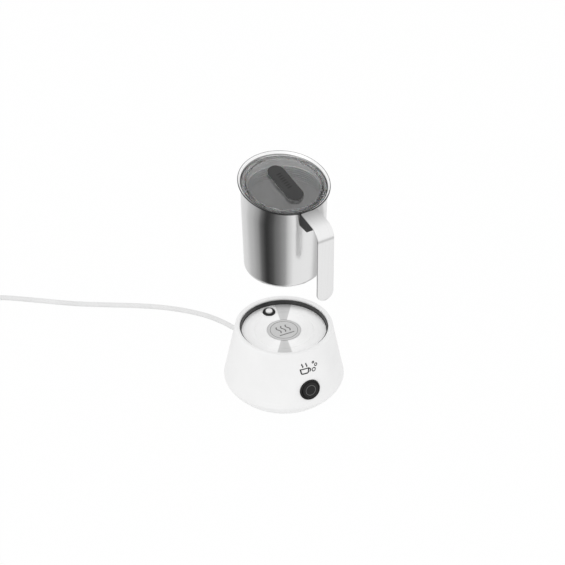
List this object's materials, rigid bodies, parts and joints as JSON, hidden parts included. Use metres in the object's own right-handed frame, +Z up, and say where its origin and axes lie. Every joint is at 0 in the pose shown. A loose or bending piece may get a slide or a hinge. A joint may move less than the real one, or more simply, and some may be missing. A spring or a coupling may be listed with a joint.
{
  "type": "milk frother",
  "caption": "Electric milk frother: a white round heated drive base with a power button, and a lift-off steel jug with a slanted rim, strap handle, clear lid and magnetic whisk.",
  "frame": {"origin": "on the base's vertical axis, at the standing surface under the rubber feet", "axes": "+Z up along the axis of base and jug; -Y the way the jug's handle points (the power button faces the same way, turned 4.5 degrees towards -X); +X to the right of someone facing the handle"},
  "size_m": [0.3225, 0.4823, 0.2759],
  "materials": {
    "white_plastic": "satin",
    "dark_plastic": "satin",
    "black_plastic": "matt",
    "grey_plastic": "satin",
    "smoke_plastic": "clear, smoked",
    "silicone": "matt",
    "foot_rubber": "matt",
    "steel": "brushed",
    "satin_steel": "satin",
    "nickel": "plated",
    "ceramic": "matt",
    "circuit_board": "lacquered"
  },
  "bodies": {
    "base": {"base_shell": "white_plastic", "bottom_cover": "grey_plastic", "button_bezel": "black_plastic", "button_board": "circuit_board", "tact_switch": "dark_plastic", "capacitor": "dark_plastic", "centre_badge": "grey_plastic", "control_board": "circuit_board", "relay_block": "white_plastic", "terminal_block": "grey_plastic", "cord_clamp": "grey_plastic", "strain_relief": "white_plastic", "power_cord": "white_plastic", "cord_coil": "white_plastic", "plug_body": "white_plastic", "plug_pin_1": "nickel", "plug_pin_2": "nickel", "cover_screw_1": "steel", "cover_screw_2": "steel", "cover_screw_3": "steel", "foot_1": "foot_rubber", "foot_2": "foot_rubber", "foot_3": "foot_rubber", "foot_4": "foot_rubber", "heat_shield": "ceramic", "heater_ring": "nickel", "heating_plate": "steel", "motor_bracket": "grey_plastic", "motor_can": "steel", "recess_collar": "dark_plastic", "sensor_collar": "black_plastic", "sensor_spring": "steel", "thermostat": "ceramic"},
    "button": {"button_cap": "black_plastic", "button_light_ring": "grey_plastic"},
    "sensor": {"sensor_cap": "white_plastic"},
    "rotor": {"magnet_carrier": "dark_plastic", "drive_magnet_1": "nickel", "drive_magnet_2": "nickel", "motor_shaft": "steel"},
    "jug": {"jug_body": "steel", "jug_heat_base": "steel", "whisk_post": "steel", "handle_strap": "satin_steel", "handle_bracket": "black_plastic", "handle_screw": "steel"},
    "lid": {"lid_cover": "smoke_plastic", "lid_seal": "silicone", "lid_bar_base": "grey_plastic", "lid_bar": "black_plastic", "lid_screw_1": "steel", "lid_screw_2": "steel"},
    "whisk_sleeve": {"whisk_bush": "grey_plastic"},
    "whisk": {"whisk_hub": "dark_plastic", "whisk_coil": "steel", "whisk_magnet_1": "nickel", "whisk_magnet_2": "nickel"}
  },
  "joints": [
    {"name": "jug_lift", "type": "slide", "parent": "base", "child": "jug", "axis": [0, 0, 1], "range_m": [-0.0811, 0.03]},
    {"name": "lid_lift", "type": "slide", "parent": "jug", "child": "lid", "axis": [0, 0, 1], "range_m": [0, 0.05]},
    {"name": "whisk_lift", "type": "slide", "parent": "jug", "child": "whisk_sleeve", "axis": [0, 0, 1], "range_m": [0, 0.03]},
    {"name": "whisk_spin", "type": "hinge", "parent": "whisk_sleeve", "child": "whisk", "pos_m": [0, 0, 0.168], "axis": [0, 0, 1], "continuous": true},
    {"name": "rotor_spin", "type": "hinge", "parent": "base", "child": "rotor", "pos_m": [0, 0, 0.068], "axis": [0, 0, 1], "continuous": true},
    {"name": "sensor_press", "type": "slide", "parent": "base", "child": "sensor", "axis": [0, 0, -1], "range_m": [0, 0.002], "stiffness_N_per_m": 400, "deforming": ["sensor_spring"]},
    {"name": "button_press", "type": "slide", "parent": "base", "child": "button", "axis": [0.077, 0.9783, -0.1923], "range_m": [0, 0.0011], "stiffness_N_per_m": 900}
  ],
  "couplings": [
    {"joint": "whisk_spin", "follows": "rotor_spin", "ratio": 1}
  ]
}
